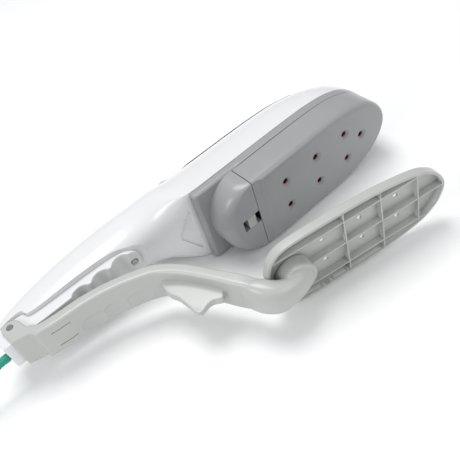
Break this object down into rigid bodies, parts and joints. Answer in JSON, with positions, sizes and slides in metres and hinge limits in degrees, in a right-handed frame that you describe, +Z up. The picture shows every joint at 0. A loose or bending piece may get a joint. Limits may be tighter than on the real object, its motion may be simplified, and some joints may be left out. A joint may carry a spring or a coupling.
{
  "type": "handheld garment steamer",
  "caption": "Handheld garment steamer with a flat steam face, clear water tank, steam button and a clip-on press arm with a ribbed press plate, lying on its side.",
  "frame": {"origin": "middle of the steamer's footprint on the surface it lies on, measured without its lead", "axes": "+X from the tail to the nose, +Y from the steam face to the back of the head, +Z up from the surface, across the body"},
  "size_m": [0.4939, 0.2341, 0.075],
  "materials": {
    "white_gloss": "gloss",
    "head_grey": "satin",
    "pale_grey": "satin",
    "teal_clear": "clear",
    "cord_teal": "satin",
    "cap_teal": "gloss",
    "milky_white": "gloss",
    "cast_aluminium": "cast",
    "bright_steel": "bright",
    "brass": "satin",
    "red_silicone": "matte",
    "black_plastic": "matte",
    "clear_hose": "clear"
  },
  "bodies": {
    "steamer": {"body_shell": "white_gloss", "grip_cover": "white_gloss", "grip_screw_1": "bright_steel", "grip_screw_2": "bright_steel", "head_frame": "head_grey", "frame_screw_1": "bright_steel", "frame_screw_2": "bright_steel", "latch_spring": "bright_steel", "boiler_gasket": "red_silicone", "boiler_block": "cast_aluminium", "boiler_lid": "cast_aluminium", "boiler_screw_1": "bright_steel", "boiler_screw_2": "bright_steel", "boiler_screw_3": "bright_steel", "boiler_screw_4": "bright_steel", "heating_element": "bright_steel", "thermostat": "black_plastic", "thermal_fuse": "brass", "terminal_block": "black_plastic", "live_lead": "black_plastic", "neutral_lead": "black_plastic", "cord_clamp": "black_plastic", "water_tank": "teal_clear", "pump_body": "clear_hose", "button_spring": "bright_steel", "suction_hose": "clear_hose", "feed_hose": "clear_hose", "strain_relief": "cord_teal", "power_cord": "cord_teal", "plug_cord": "cord_teal", "cord_coil": "cord_teal", "plug_body": "black_plastic", "plug_pin_1": "brass", "plug_pin_2": "brass"},
    "press": {"press_arm": "pale_grey", "press_plate": "pale_grey", "arm_pivot_pin": "bright_steel"},
    "sole": {"sole_cover": "head_grey"},
    "latch": {"latch_slider": "pale_grey"},
    "button": {"steam_button": "milky_white", "pump_plunger": "black_plastic"},
    "cap": {"tank_cap": "cap_teal", "tank_seal": "red_silicone"}
  },
  "joints": [
    {"name": "press_hinge", "type": "hinge", "parent": "steamer", "child": "press", "pos_m": [-0.1673, 0.0534, 0.0375], "axis": [0, 0, 1], "range_deg": [0, 12], "stiffness_Nm_per_rad": 1.5},
    {"name": "sole_release", "type": "slide", "parent": "steamer", "child": "sole", "axis": [0, -1, 0], "range_m": [0, 0.01]},
    {"name": "latch_slide", "type": "slide", "parent": "steamer", "child": "latch", "axis": [-1, 0, 0], "range_m": [0, 0.003], "stiffness_N_per_m": 300, "deforming": ["latch_spring"]},
    {"name": "button_press", "type": "slide", "parent": "steamer", "child": "button", "axis": [0, -1, 0], "range_m": [0, 0.0035], "stiffness_N_per_m": 500, "deforming": ["button_spring"]},
    {"name": "cap_lift", "type": "slide", "parent": "steamer", "child": "cap", "axis": [0, 1, 0], "range_m": [0, 0.012]}
  ]
}
